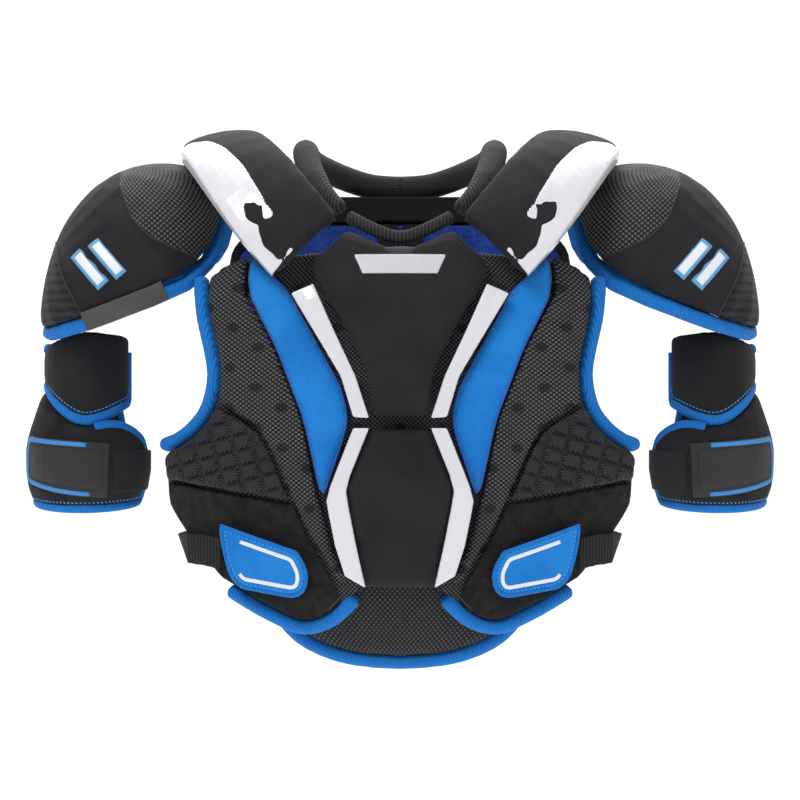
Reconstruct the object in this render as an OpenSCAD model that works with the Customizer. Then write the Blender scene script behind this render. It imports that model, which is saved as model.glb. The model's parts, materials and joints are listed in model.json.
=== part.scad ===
// Ice hockey shoulder pads, in millimetres. The front faces -Y and +Z is up.
// The pads are drawn as they sit on a wearer. Every paired piece is drawn on
// the +X side and mirrored for the other.

/* [Torso] */
// Half width of the torso form at the chest
chest_half_width = 216; // [180:1:250]
// Half depth of the torso form at the chest
chest_half_depth = 122; // [90:1:150]
// Squareness of the torso form seen from above
torso_power = 2.4; // [2:0.1:4]
// Thickness of the chest foam
foam_t = 10; // [6:1:16]
// Thickness of a panel laid on the chest foam
panel_t = 8; // [4:1:14]
// Gap left between two layers
layer_gap = 1.2; // [0.5:0.1:3]

/* [Sternum] */
// Height of the groove between the two sternum pads
groove_z = 202; // [180:1:220]
// Thickness of the sternum pads
sternum_t = 15; // [8:1:24]
// Half width of the sternum pad at the groove
groove_half = 23; // [15:1:35]

/* [Collar] */
// Half width of the neck opening, to the middle of the roll
collar_half = 82; // [70:1:95]
// Radius of the collar roll
collar_r = 12; // [8:1:18]
// Height of the collar beside the neck
collar_side_z = 436; // [420:1:450]

/* [Shoulder cap] */
// Middle of the cap, out from the centre line
cap_x = 226; // [215:1:240]
// Middle of the cap, above the bottom of the belly pad
cap_z = 322; // [310:1:335]
// Half width of the cap
cap_rx = 81; // [70:1:95]
// Half depth of the cap
cap_ry = 96; // [80:1:110]
// Height of the cap above its middle
cap_rz = 103; // [85:1:120]
// Thickness of the cap's padding
cap_t = 15; // [8:1:22]
// Thickness of the hard shell inside the cap
cap_shell_t = 3; // [2:0.5:5]

/* [Arm guards] */
// Middle of the arm, out from the centre line
arm_x = 273; // [260:1:290]
// Thickness of the biceps guard
guard_t = 11; // [6:1:18]
// Half width of the cuff at its widest
cuff_half = 51; // [40:1:60]
// Thickness of the cuff's padding
cuff_t = 11; // [6:1:18]

/* [Trim] */
// Radius of the rolled blue bindings
binding_r = 5; // [3:0.5:8]
// Thickness of the white moulded trims
trim_t = 4; // [2:0.5:6]

/* [Hidden] */
COL_BLACK = [0.13, 0.13, 0.15];
COL_BLUE = [0.07, 0.45, 0.80];
COL_WHITE = [0.93, 0.93, 0.95];
COL_GREY = [0.34, 0.35, 0.37];
COL_LINER = [0.16, 0.31, 0.72];

// Half width and half depth of the torso form by height.
WIDTHS = [[-20, 150], [0, 158], [60, 186], [150, chest_half_width - 4],
    [230, chest_half_width], [300, chest_half_width - 2], [350, 206],
    [440, 190]];
DEPTHS = [[-20, 78], [0, 88], [60, chest_half_depth - 14],
    [150, chest_half_depth], [230, chest_half_depth + 2],
    [300, chest_half_depth - 7], [350, chest_half_depth - 24],
    [400, chest_half_depth - 50], [440, chest_half_depth - 88]];

PANEL_IN = foam_t + layer_gap;
PANEL_OUT = PANEL_IN + panel_t;
STERNUM_OUT = PANEL_IN + sternum_t;

// ---------- Small helpers ----------

function mix(a, b, t) = a + (b - a) * t;
function unit(v) = v / max(norm(v), 0.000001);

// Total length of a line of points up to entry k.
function run(pts, k) = k <= 0 ? 0 : run(pts, k - 1) + norm(pts[k] - pts[k - 1]);

// The point a share t of the way along a line of points.
function at_run(pts, runs, d, k = 1) =
    k >= len(pts) - 1 || runs[k] >= d
    ? mix(pts[k - 1], pts[k], (d - runs[k - 1]) / max(runs[k] - runs[k - 1], 0.001))
    : at_run(pts, runs, d, k + 1);
function spread(pts, n) =
    let (runs = [for (k = [0:len(pts) - 1]) run(pts, k)])
    [for (i = [0:n]) at_run(pts, runs, runs[len(pts) - 1] * i / n)];

// A smooth line through control points.
function spline_at(p, k, t) =
    let (n = len(p) - 1,
        a = p[max(k - 1, 0)], b = p[k], c = p[min(k + 1, n)], d = p[min(k + 2, n)])
    0.5 * (2 * b + (c - a) * t + (2 * a - 5 * b + 4 * c - d) * t * t
        + (3 * b - a - 3 * c + d) * t * t * t);
function smooth(p, steps = 4) = concat(
    [for (k = [0:len(p) - 2]) for (i = [0:steps - 1]) spline_at(p, k, i / steps)],
    [p[len(p) - 1]]);

// A line of [x, z] points moved d to the right of the way it runs.
function beside(line, d) = [for (k = [0:len(line) - 1])
    let (ahead = unit(line[min(k + 1, len(line) - 1)] - line[max(k - 1, 0)]))
    [line[k][0] + ahead[1] * d, line[k][1] - ahead[0] * d]];
function part(pts, from, to) = [for (i = [from:to]) pts[i]];

function flip(pts) = [for (i = [len(pts) - 1:-1:0]) pts[i]];

// ---------- Torso form ----------

function form_y(x, z) =
    lookup(z, DEPTHS)
    * pow(1 - pow(min(abs(x) / lookup(z, WIDTHS), 0.985), torso_power), 1 / torso_power);

// A point over the torso form, t away from it. face is -1 in front, 1 behind.
// It moves only forward or back, so an outline seen from the front stays true.
function skin(face, x, z, t) =
    let (d = 0.5,
        gx = (form_y(x + d, z) - form_y(x - d, z)) / (2 * d),
        gz = (form_y(x, z + d) - form_y(x, z - d)) / (2 * d))
    [x, face * (form_y(x, z) + t * min(sqrt(1 + gx * gx + gz * gz), 1.7)), z];

// ---------- Closed shells from grids of points ----------

// outer and inner are equal grids of points, row by row.
module shell(outer, inner, ring = false) {
    rows = len(outer);
    cols = len(outer[0]);
    total = rows * cols;
    last = ring ? cols - 1 : cols - 2;
    function o(i, j) = i * cols + j % cols;
    function n(i, j) = total + i * cols + j % cols;
    points = concat([for (r = outer) for (p = r) p], [for (r = inner) for (p = r) p]);
    skins = [for (i = [0:rows - 2]) for (j = [0:last]) each [
        [o(i, j), o(i, j + 1), o(i + 1, j + 1)],
        [o(i, j), o(i + 1, j + 1), o(i + 1, j)],
        [n(i, j), n(i + 1, j + 1), n(i, j + 1)],
        [n(i, j), n(i + 1, j), n(i + 1, j + 1)]]];
    ends = [for (j = [0:last]) each [
        [o(0, j), n(0, j), n(0, j + 1)],
        [o(0, j), n(0, j + 1), o(0, j + 1)],
        [o(rows - 1, j), n(rows - 1, j + 1), n(rows - 1, j)],
        [o(rows - 1, j), o(rows - 1, j + 1), n(rows - 1, j + 1)]]];
    sides = ring ? [] : [for (i = [0:rows - 2]) each [
        [o(i, 0), o(i + 1, 0), n(i + 1, 0)],
        [o(i, 0), n(i + 1, 0), n(i, 0)],
        [o(i, cols - 1), n(i + 1, cols - 1), o(i + 1, cols - 1)],
        [o(i, cols - 1), n(i, cols - 1), n(i + 1, cols - 1)]]];
    polyhedron(points = points, faces = concat(skins, ends, sides), convexity = 6);
}

// A panel on the torso form between two [x, z] lines, from top to bottom.
module on_form(face, low_x, high_x, t_in, t_out, rows = 10, cols = 6) {
    a = spread(low_x, rows);
    b = spread(high_x, rows);
    function grid(t) = [for (i = [0:rows]) [for (j = [0:cols])
        let (p = mix(a[i], b[i], j / cols)) skin(face, p[0], p[1], t)]];
    if (face < 0) shell(grid(t_out), grid(t_in));
    else shell(grid(t_in), grid(t_out));
}

// A rod or strap along a line of points. section is a loop of [across, out],
// and sizes scales it point by point.
module sweep(path, outs, section, closed = false, sizes = []) {
    n = len(path);
    m = len(section);
    function ahead(k) = closed
        ? unit(path[(k + 1) % n] - path[(k + n - 1) % n])
        : unit(path[min(k + 1, n - 1)] - path[max(k - 1, 0)]);
    rings = [for (k = [0:n - 1])
        let (t = ahead(k), b = unit(cross(t, outs[k])), o = cross(b, t))
        let (k_size = len(sizes) > k ? sizes[k] : 1)
        [for (s = section) path[k] + (b * s[0] + o * s[1]) * k_size]];
    points = concat([for (r = rings) for (p = r) p],
        closed ? [] : [path[0], path[n - 1]]);
    last = closed ? n - 1 : n - 2;
    walls = [for (k = [0:last]) for (i = [0:m - 1])
        let (a = k * m + i, b = k * m + (i + 1) % m,
            c = ((k + 1) % n) * m + (i + 1) % m, d = ((k + 1) % n) * m + i)
        each [[a, b, c], [a, c, d]]];
    caps = closed ? [] : [for (i = [0:m - 1]) each [
        [n * m, (i + 1) % m, i],
        [n * m + 1, (n - 1) * m + i, (n - 1) * m + (i + 1) % m]]];
    polyhedron(points = points, faces = concat(walls, caps), convexity = 8);
}

function round_section(across, out, m = 8) =
    [for (i = [0:m - 1]) [across * cos(360 * i / m), out * sin(360 * i / m)]];
function flat_section(width, t) =
    [[width / 2, -t / 2], [width / 2, t / 2], [-width / 2, t / 2], [-width / 2, -t / 2]];

// A rod on the torso form along an [x, z] line, its middle pushed out by t.
module rod_on_form(face, line, t, section, steps = 3) {
    flat = smooth(line, steps);
    path = [for (p = flat) skin(face, p[0], p[1], t)];
    outs = [for (p = flat) [p[0] / 300, face, 0]];
    sweep(path, outs, section);
}

module both(side) {
    if (side > 0) children();
    else mirror([1, 0, 0]) children();
}

// ---------- Outlines, as [x, z] lines from top to bottom ----------

// The blue side panel.
SIDE_OUT = [[123, 338], [126, 312], [101, 264], [78, 205], [65, 146]];
SIDE_IN = [[94, 312], [68, 266], [46, 226], [43, 200], [62, 144]];

// The middle lines of the blue bindings at the armhole and the hem.
ARMHOLE = [[167, 322], [164, 292], [157, 262], [154, 243], [156, 226],
    [162, 210], [174, 196], [187, 187], [198, 183]];
HEM = [[141, 61], [119, 48], [99, 38], [84, 32], [69, 33], [53, 41], [38, 56]];

// The foam and its panels stop this far from the middle of those bindings.
BESIDE_BINDING = binding_r + 1.5;
ARM_EDGE = beside(smooth(ARMHOLE, 2), BESIDE_BINDING);
HEM_EDGE = beside(smooth(HEM, 2), BESIDE_BINDING);

// The bare edge of the body between the two bindings.
WAIST_EDGE = [[194.5, 134], [187, 121], [165, 91], [147, 70]];

// The edge of the white trims and of the sternum pads.
TRIM_TOP_OUT = [[89, 308], [66, 270], [48, 240], [38, 207]];
TRIM_TOP_IN = [[71, 316], [54, 278], [36, 240], [25, 206]];
TRIM_LOW_OUT = [[38, 198], [57, 150], [60, 138], [53, 102], [45, 77]];
TRIM_LOW_IN = [[25, 198], [41, 158], [44, 146], [36, 104], [28, 67]];

// ---------- Chest ----------

module chest_foam() color(COL_BLACK) {
    middle = [[0, 348], [0, 80], [36, 62]];
    outer = concat([[74, 342], [128, 337], [152, 328]], ARM_EDGE, [[196, 160]],
        WAIST_EDGE, HEM_EDGE);
    for (side = [1, -1]) both(side) on_form(-1, middle, outer, 0, foam_t, 40, 8);
}

module chest_mesh(side) color(COL_BLACK) both(side)
    on_form(-1, [[127, 340], [129, 309], [104, 264], [81, 205], [69, 146], [63, 128],
        [55, 96], [42, 72]],
        concat([[150, 330]], part(ARM_EDGE, 1, 8), [[146, 217], [118, 200], [106, 181],
        [94, 154], [77, 117], [49, 70]]), PANEL_IN, PANEL_OUT, 28, 4);

module side_panel(side) color(COL_BLUE) both(side)
    on_form(-1, SIDE_IN, SIDE_OUT, PANEL_IN, PANEL_OUT - 1, 12, 4);

// The embossed panel between the armhole and the channel beside the mesh.
module rib_panel(side) color(COL_BLACK) both(side)
    on_form(-1, [[147, 212], [120, 196], [108, 177], [97, 151], [91, 139]],
        concat(part(ARM_EDGE, 9, 16), [[196.5, 166], [195.5, 155]]),
        PANEL_IN, PANEL_OUT, 10, 6);

module loop_field(side) color(COL_BLACK) both(side)
    on_form(-1, [[87, 135], [81, 120], [74, 105], [64, 87], [54, 70], [50, 58]],
        concat([[195, 152]], WAIST_EDGE, part(HEM_EDGE, 0, 9)),
        PANEL_IN, PANEL_IN + 4, 20, 6);

// Its top is a shallow V that follows the collar's front band.
module sternum_upper() color(COL_BLACK) {
    middle = [[0, 346], [0, groove_z + 4]];
    edge = [[45, 361], [76, 332], [68, 312], [46, 275], [30, 240],
        [groove_half, groove_z + 4]];
    for (side = [1, -1]) both(side)
        on_form(-1, middle, edge, PANEL_IN, STERNUM_OUT, 14, 6);
}

module sternum_trim(side) color(COL_WHITE) both(side)
    on_form(-1, TRIM_TOP_IN, TRIM_TOP_OUT, STERNUM_OUT + layer_gap,
        STERNUM_OUT + layer_gap + trim_t, 10, 2);

module badge_frame() color(COL_BLACK)
    on_form(-1, [[-44, 346], [-41, 318]], [[44, 346], [41, 318]],
        STERNUM_OUT + layer_gap, STERNUM_OUT + layer_gap + 4, 4, 8);

module badge_plate() color(COL_WHITE)
    on_form(-1, [[-38, 340], [-31, 324]], [[38, 340], [31, 324]],
        STERNUM_OUT + 2 * layer_gap + 4, STERNUM_OUT + 2 * layer_gap + 7, 2, 8);

module armhole_binding(side) color(COL_BLUE) both(side)
    rod_on_form(-1, ARMHOLE, 7, round_section(binding_r, 6));

module hem_binding() color(COL_BLUE) for (side = [1, -1]) both(side)
    rod_on_form(-1, HEM, 8, round_section(binding_r, 6));

// ---------- Collar ----------

// The middle line of the collar roll, from the middle of the front round +X.
function collar_line() =
    let (w = collar_half, s = collar_side_z)
    [[49, -103, 379], [63, -88, 393], [w - 7, -62, 412], [w, -20, s],
    [w - 4, 26, s - 4], [w - 26, 62, 424], [28, 78, 416], [0, 82, 414]];

module collar_roll() color(COL_BLACK) {
    half = smooth(collar_line(), 3);
    other = [for (i = [len(half) - 2:-1:0]) [-half[i][0], half[i][1], half[i][2]]];
    path = concat(half, other);
    sizes = [for (p = path) lookup(p[1], [[-103, 0.62], [-70, 1]])];
    outs = [for (p = path) unit([p[0] * 0.3, p[1] * 0.3, 60])];
    sweep(path, outs, round_section(collar_r, collar_r, 10), sizes = sizes);
}

// The narrow V that closes the collar in front, between the ends of the roll.
module collar_band() color(COL_BLACK) {
    half = [[0, -119, 355], [22, -115, 362], [43, -106, 373.5]];
    path = smooth(concat([for (p = flip(half)) [-p[0], p[1], p[2]]],
        [half[1], half[2]]), 3);
    outs = [for (p = path) [0, -1, 0.3]];
    sweep(path, outs, round_section(6, 5));
}

module back_collar() color(COL_BLACK)
    on_form(1, [[-72, 405], [-84, 383]], [[72, 405], [84, 383]], -6.5, -1, 3, 12);

// ---------- Back ----------

function back_edge() = [[88, 396], [150, 372], [162, 320], [150, 260], [168, 214],
    [196, 190], [196, 130], [172, 92], [120, 62]];

module back_foam() color(COL_BLACK)
    on_form(1, [for (p = back_edge()) [-p[0], p[1]]], back_edge(), 0, foam_t, 16, 14);

// The liner stops just below the back collar.
module back_liner() color(COL_LINER)
    on_form(1, [for (p = back_edge()) [8 - p[0], min(p[1] - 3, 381)]],
        [for (p = back_edge()) [p[0] - 8, min(p[1] - 3, 381)]], -5.5, -3.5, 16, 14);

module spine_plate() color(COL_WHITE)
    on_form(1, [[-26, 350], [-30, 240], [-22, 90]], [[26, 350], [30, 240], [22, 90]],
        PANEL_IN, PANEL_IN + 6, 10, 4);

module blade_plate(side) color(COL_WHITE) both(side)
    on_form(1, [[44, 340], [48, 280], [54, 230]], [[132, 330], [136, 280], [112, 230]],
        PANEL_IN, PANEL_IN + 5, 6, 6);

module back_strap(side) color(COL_BLACK) both(side)
    on_form(1, [[2, 381], [3, 200]], [[20, 381], [21, 200]], -9.5, -7.5, 8, 2);

// Height of the elastic strap that goes round the side to the front, and how far it
// leans in with the waist, by distance in front of or behind the wearer.
STRAP_Z = 96;
STRAP_WIDTH = 26;
STRAP_LEAN = [[-100, 0], [-70, 0.72], [70, 0.72], [100, 0]];
STRAP_SIDE = [[177, -96], [181, -78], [179, -42], [177, 0], [177, 36], [183, 68]];

module side_strap(side) color(COL_BLACK) both(side) {
    front = [for (x = [148, 156, 163]) skin(-1, x, STRAP_Z + (x - 163) * 0.2, 23)];
    back = [for (x = [172, 163, 152]) skin(1, x, STRAP_Z + 2, 20)];
    path = concat(front, [for (p = STRAP_SIDE) [p[0], p[1], STRAP_Z + 1]], back);
    outs = [for (p = path)
        unit([p[0] / 2, p[1], -p[0] / 2 * lookup(p[1], STRAP_LEAN)])];
    sweep(path, outs, flat_section(STRAP_WIDTH, 2));
}

// ---------- Waist pieces that hinge ----------

module sternum_lower() color(COL_BLACK) {
    edge = [[groove_half, groove_z - 5], [41, 158], [44, 146], [36, 104], [27, 67]];
    on_form(-1, [for (p = edge) [-p[0], p[1]]], edge, PANEL_IN, STERNUM_OUT, 10, 8);
}

module lower_trim() color(COL_WHITE) for (side = [1, -1]) both(side)
    on_form(-1, TRIM_LOW_IN, TRIM_LOW_OUT, STERNUM_OUT + layer_gap,
        STERNUM_OUT + layer_gap + trim_t, 10, 2);

// The belly pad lies just inside the hem.
BELLY_LOW = [[-95, 41], [-84, 29], [-65, 18], [-38, 10], [0, 7], [38, 10], [65, 18],
    [84, 29], [95, 41]];
BELLY_TOP = [[-96, 50], [-80, 56], [-58, 66], [-34, 78], [0, 82], [34, 78], [58, 66],
    [80, 56], [96, 50]];

module belly_pad() color(COL_BLACK)
    on_form(-1, BELLY_LOW, BELLY_TOP, -12, -1, 16, 5);

module belly_binding() color(COL_BLUE)
    rod_on_form(-1, [for (p = BELLY_LOW) [p[0] * 1.01, p[1] - 6.6]], -6,
        round_section(binding_r, binding_r + 1), 2);

module side_tab(side) color(COL_BLUE) both(side)
    on_form(-1, [[84, 97], [76, 83], [75, 71], [80, 60], [89, 58]],
        [[149, 119], [148, 104], [144, 84], [140, 72], [132, 65]],
        PANEL_OUT + 4, PANEL_OUT + 8, 8, 6);

// ---------- Collar bone arches ----------

ARCH_IN = [[50, -122, 369], [70, -112, 392], [92, -86, 416], [112, -42, 434],
    [120, 5, 438], [118, 50, 428], [110, 84, 404]];
ARCH_OUT = [[98, -129, 322], [124, -125, 350], [151, -108, 384], [174, -68, 414],
    [188, -15, 428], [188, 35, 423], [178, 72, 399]];

module arch_panel(from, to, t_in, t_out, rows, cols) {
    a = spread(smooth(ARCH_IN, 3), rows);
    b = spread(smooth(ARCH_OUT, 3), rows);
    function base(i, j) = mix(a[i], b[i], mix(from, to, j / cols));
    function out(i, j) = let (
        along = base(min(i + 1, rows), j) - base(max(i - 1, 0), j))
        unit(cross(along, b[i] - a[i]));
    function grid(t) = [for (i = [rows:-1:0]) [for (j = [0:cols])
        let (share = mix(from, to, j / cols))
        base(i, j) - out(i, j) * (t + 6 * sin(180 * share))]];
    shell(grid(t_out), grid(t_in));
}

module arch_pad(side) color(COL_BLACK) both(side) arch_panel(0, 1, 0, 14, 12, 6);

// The plate lies on the front outer part of the pad and folds over its side.
// Its inner edge is a curve that comes to a point at both ends.
PLATE_INNER = [[0, 0.70], [0.12, 0.60], [0.3, 0.57], [0.42, 0.63], [0.5, 0.74],
    [0.56, 0.92]];
PLATE_ENDS = [0.015, 0.56];

PLATE_ROWS = 56;
PLATE_IN = 15.2;
PLATE_T = 3;

// Columns from the inner edge to the pad's side, then two that fold over it.
module plate_wall(steps = 14) {
    a = spread(smooth(ARCH_IN, 3), PLATE_ROWS);
    b = spread(smooth(ARCH_OUT, 3), PLATE_ROWS);
    function line(share, i) = mix(a[i], b[i], share);
    function place(share, along, t) =
        let (k = along * PLATE_ROWS, i = floor(k),
            ahead = line(share, i + 1) - line(share, max(i - 1, 0)))
        mix(line(share, i), line(share, i + 1), k - i)
            - unit(cross(ahead, b[i] - a[i])) * (t + 6 * sin(180 * min(share, 1)));
    function across(along, t) =
        let (from = lookup(along, PLATE_INNER), side = 1.035 + (t - PLATE_IN) / 60)
        concat([for (j = [0:4]) place(mix(from, mix(from, 1, 0.97), j / 4), along, t)],
            [place(side, along, t - 3), place(side, along, 3)]);
    function grid(t) = [for (i = [steps:-1:0])
        across(mix(PLATE_ENDS[0], PLATE_ENDS[1], i / steps), t)];
    shell(grid(PLATE_IN + PLATE_T), grid(PLATE_IN));
}

module arch_plate(side) color(COL_WHITE) both(side) plate_wall();

// ---------- Shoulder caps ----------

CAP_TILT = 50;
CAP_POWER = 2.3;

// How far the cap leans towards the neck for each millimetre of height.
CAP_LEAN = 0.2;

// How far round from the pole the rim lies, by angle about the pole: 0 is
// outward and down, 90 the front and 180 the top beside the arch.
RIM = [[0, 62], [45, 77], [74, 92], [92, 101], [111, 108], [130, 107], [145, 100],
    [157, 90], [168, 79], [180, 70]];
// The rim sits higher behind than in front.
REAR_RIM = 0.84;
function rim_angle(a) = let (turn = ((a + 540) % 360) - 180)
    lookup(abs(turn), RIM) * (turn < 0 ? mix(1, REAR_RIM, pow(sin(-turn), 2)) : 1);

function cap_dir(turn, tip) = [
    sin(tip) * cos(turn) * cos(CAP_TILT) + cos(tip) * sin(CAP_TILT),
    -sin(tip) * sin(turn),
    -sin(tip) * cos(turn) * sin(CAP_TILT) + cos(tip) * cos(CAP_TILT)];

function cap_point(turn, share, t) =
    let (d = cap_dir(turn, rim_angle(turn) * share),
        rx = cap_rx + t, ry = cap_ry + t, rz = cap_rz + t,
        size = pow(pow(abs(d[0]) / rx, CAP_POWER) + pow(abs(d[1]) / ry, CAP_POWER)
            + pow(abs(d[2]) / rz, CAP_POWER), 1 / CAP_POWER))
    [cap_x, 0, cap_z] + d / size - [CAP_LEAN * d[2] / size, 0, 0];

module cup(t_in, t_out, top, rim, rows, cols) {
    turns = [for (j = [0:cols - 1]) 360 * j / cols];
    function grid(t) = [for (i = [0:rows]) [for (a = turns)
        cap_point(a, mix(top, rim, i / rows), t)]];
    outer = grid(t_out);
    inner = grid(t_in);
    total = (rows + 1) * cols;
    function o(i, j) = i * cols + j % cols;
    function n(i, j) = total + i * cols + j % cols;
    points = concat([for (r = outer) for (p = r) p], [for (r = inner) for (p = r) p],
        [cap_point(0, 0, t_out), cap_point(0, 0, t_in)]);
    walls = [for (i = [0:rows - 1]) for (j = [0:cols - 1]) each [
        [o(i, j), o(i + 1, j + 1), o(i, j + 1)],
        [o(i, j), o(i + 1, j), o(i + 1, j + 1)],
        [n(i, j), n(i, j + 1), n(i + 1, j + 1)],
        [n(i, j), n(i + 1, j + 1), n(i + 1, j)]]];
    ends = [for (j = [0:cols - 1]) each [
        [2 * total, o(0, j), o(0, j + 1)],
        [2 * total + 1, n(0, j + 1), n(0, j)],
        [o(rows, j), n(rows, j), n(rows, j + 1)],
        [o(rows, j), n(rows, j + 1), o(rows, j + 1)]]];
    polyhedron(points = points, faces = concat(walls, ends), convexity = 6);
}

module cap_pad(side) color(COL_BLACK) both(side) cup(-cap_t, 0, 0.1, 1, 8, 24);

module cap_shell(side) color(COL_GREY) both(side)
    cup(-cap_t - 1.5 - cap_shell_t, -cap_t - 1.5, 0.1, 0.86, 7, 24);

module cap_binding(side) color(COL_BLUE) both(side) {
    turns = [for (j = [0:35]) 360 * j / 36];
    path = [for (a = turns) cap_point(a, 1.07, -cap_t / 2)];
    outs = [for (a = turns) cap_dir(a, rim_angle(a))];
    sweep(path, outs, round_section(binding_r, cap_t / 2 + 1), true);
}

// The woven label folded over the rim of one cap, by angle about the pole.
LABEL_TURNS = [62:6:98];
module cap_label() color(COL_GREY) both(-1) {
    path = [for (a = LABEL_TURNS) cap_point(a, 1.04, 3)];
    outs = [for (a = LABEL_TURNS) cap_dir(a, rim_angle(a))];
    sweep(path, outs, flat_section(17, 1.6));
}

// ---------- Arm guards ----------

// A part of a sleeve round the arm. turn 0 faces the front, 90 faces outward.
function arm_ring(turn, z, half_x, half_y, t) =
    [arm_x + (z < 180 ? 1 : 0) + (half_x + t) * sin(turn), -(half_y + t) * cos(turn), z];

GUARD_FROM = -78;
GUARD_TO = 212;

// The guard's top follows the cap's rim and its bottom is a point in front.
function guard_top(turn) = 274 + 5 * cos(turn) - 9 * max(sin(turn), 0);
function guard_low(turn) = 219 - 17 * cos(turn) * abs(cos(turn)) + 14 * max(sin(turn), 0);

module guard_wall(t_in, t_out, from, to, top, low, rows, cols) {
    function grid(t) = [for (i = [0:rows]) [for (j = [0:cols])
        let (a = mix(from, to, j / cols),
            z = mix(guard_top(a) - top, guard_low(a) + low, i / rows))
        arm_ring(a, z, 36, 50, t)]];
    shell(grid(t_out), grid(t_in));
}

module bicep_guard(side) color(COL_BLACK) both(side)
    guard_wall(-guard_t, 0, GUARD_FROM, GUARD_TO, 0, 0, 6, 20);

module bicep_plate(side) color(COL_GREY) both(side)
    guard_wall(-guard_t - 4, -guard_t - 1.2, 20, 160, 8, 10, 5, 12);

// The cuff's top follows the guard and drops away towards the inner side.
function cuff_top(turn) = guard_low(turn) - 5 + lookup(turn, [[-85, -38], [-66, -20],
    [-46, -6], [-28, 0]]);
function cuff_low(turn) = 132 - 5 * cos(turn);
function cuff_x(z) = lookup(z, [[127, cuff_half - 8], [148, cuff_half - 1],
    [160, cuff_half], [186, cuff_half], [226, cuff_half - 13]]);

module cuff_wall(t_in, t_out, from, to, top, low, rows, cols) {
    function grid(t) = [for (i = [0:rows]) [for (j = [0:cols])
        let (a = mix(from, to, j / cols), share = mix(top, low, i / rows),
            z = mix(cuff_top(a), cuff_low(a), share), h = cuff_x(z))
        arm_ring(a, z, h, h + 6, t)]];
    shell(grid(t_out), grid(t_in));
}

module cuff_pad(side) color(COL_BLACK) both(side)
    cuff_wall(-cuff_t, 0, -85, 210, 0, 1, 8, 20);

// A strip on the cuff. top and low give its heights at its two ends.
module cuff_strip(t_in, t_out, from, to, top, low, rows, cols) {
    function grid(t) = [for (i = [0:rows]) [for (j = [0:cols])
        let (share = j / cols, a = mix(from, to, share),
            z = mix(mix(top[0], top[1], share), mix(low[0], low[1], share * share), i / rows),
            h = cuff_x(z))
        arm_ring(a, z, h, h + 6, t)]];
    shell(grid(t_out), grid(t_in));
}

// The elastic goes over the pad from the tab to the back of the cuff.
module cuff_strap(side) color(COL_BLACK) both(side)
    cuff_strip(1.5, 4, -158, -33, [176, 178], [142, 142], 2, 14);

module cuff_tab(side) color(COL_GREY) both(side)
    cuff_strip(2, 5, -27, 62, [184, 190], [137, 150], 4, 10);

// ---------- Output ----------

chest_foam();
chest_mesh(1);  // chest_mesh_left
chest_mesh(-1);  // chest_mesh_right
side_panel(1);  // side_panel_left
side_panel(-1);  // side_panel_right
rib_panel(1);  // rib_panel_left
rib_panel(-1);  // rib_panel_right
loop_field(1);  // loop_field_left
loop_field(-1);  // loop_field_right
sternum_upper();
sternum_trim(1);  // sternum_trim_left
sternum_trim(-1);  // sternum_trim_right
badge_frame();
badge_plate();
collar_roll();
collar_band();
armhole_binding(1);  // armhole_binding_left
armhole_binding(-1);  // armhole_binding_right
hem_binding();
back_collar();
back_foam();
back_liner();
spine_plate();
blade_plate(1);  // blade_plate_left
blade_plate(-1);  // blade_plate_right
back_strap(1);  // back_strap_left
back_strap(-1);  // back_strap_right
side_strap(1);  // side_strap_left
side_strap(-1);  // side_strap_right
sternum_lower();
lower_trim();
belly_pad();
belly_binding();
side_tab(1);  // side_tab_left
side_tab(-1);  // side_tab_right
arch_pad(1);  // arch_pad_left
arch_pad(-1);  // arch_pad_right
arch_plate(1);  // arch_plate_left
arch_plate(-1);  // arch_plate_right
cap_pad(1);  // cap_pad_left
cap_pad(-1);  // cap_pad_right
cap_shell(1);  // cap_shell_left
cap_shell(-1);  // cap_shell_right
cap_binding(1);  // cap_binding_left
cap_binding(-1);  // cap_binding_right
cap_label();
bicep_guard(1);  // bicep_guard_left
bicep_guard(-1);  // bicep_guard_right
bicep_plate(1);  // bicep_plate_left
bicep_plate(-1);  // bicep_plate_right
cuff_pad(1);  // cuff_pad_left
cuff_pad(-1);  // cuff_pad_right
cuff_strap(1);  // cuff_strap_left
cuff_strap(-1);  // cuff_strap_right
cuff_tab(1);  // cuff_tab_left
cuff_tab(-1);  // cuff_tab_right
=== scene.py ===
"""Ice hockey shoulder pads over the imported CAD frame. Metres, +Z up, the chest faces -Y."""

import json
import math

import bmesh
import bpy
import numpy as np
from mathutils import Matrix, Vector
from mathutils.bvhtree import BVHTree
from mathutils.kdtree import KDTree


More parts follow.
